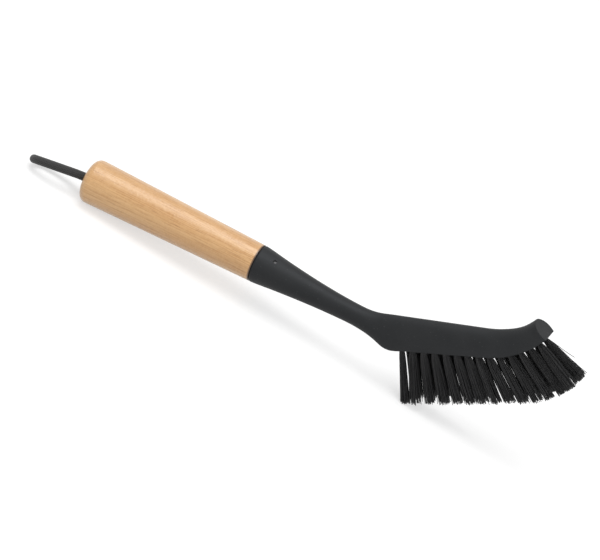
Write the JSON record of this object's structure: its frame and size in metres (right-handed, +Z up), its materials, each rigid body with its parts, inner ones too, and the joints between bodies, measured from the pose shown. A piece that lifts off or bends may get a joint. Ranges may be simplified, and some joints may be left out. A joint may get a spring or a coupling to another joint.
{
  "type": "dish brush",
  "caption": "Long-handled dish brush: tapered round wooden handle, dark curved plastic head with two columns of fanned bristle tufts, and a cord loop at the butt.",
  "frame": {"origin": "on the counter, under the middle of the brush's box without its cord", "axes": "+X along the brush from the butt to the head, +Y across it, +Z up from the counter; the brush rests on its butt's rim and its first two tufts"},
  "size_m": [0.2997, 0.0234, 0.0767],
  "materials": {
    "beech": "satin",
    "head_plastic": "matte",
    "bristle_nylon": "satin",
    "cord_cotton": "matte",
    "nail_steel": "satin"
  },
  "bodies": {
    "root": {"brush_head": "head_plastic", "fixing_nail": "nail_steel", "hanging_cord": "cord_cotton", "staple_plates": "nail_steel", "tuft_01_left": "bristle_nylon", "tuft_01_right": "bristle_nylon", "tuft_02_left": "bristle_nylon", "tuft_02_right": "bristle_nylon", "tuft_03_left": "bristle_nylon", "tuft_03_right": "bristle_nylon", "tuft_04_left": "bristle_nylon", "tuft_04_right": "bristle_nylon", "tuft_05_left": "bristle_nylon", "tuft_05_right": "bristle_nylon", "tuft_06_left": "bristle_nylon", "tuft_06_right": "bristle_nylon", "tuft_07_left": "bristle_nylon", "tuft_07_right": "bristle_nylon", "tuft_08_left": "bristle_nylon", "tuft_08_right": "bristle_nylon", "tuft_09_left": "bristle_nylon", "tuft_09_right": "bristle_nylon", "tuft_10_left": "bristle_nylon", "tuft_10_right": "bristle_nylon", "tuft_11_left": "bristle_nylon", "tuft_11_right": "bristle_nylon", "tuft_12_left": "bristle_nylon", "tuft_12_right": "bristle_nylon", "tuft_13_left": "bristle_nylon", "tuft_13_right": "bristle_nylon", "tuft_14_left": "bristle_nylon", "tuft_14_right": "bristle_nylon", "tuft_tip": "bristle_nylon", "wood_handle": "beech"}
  },
  "joints": []
}
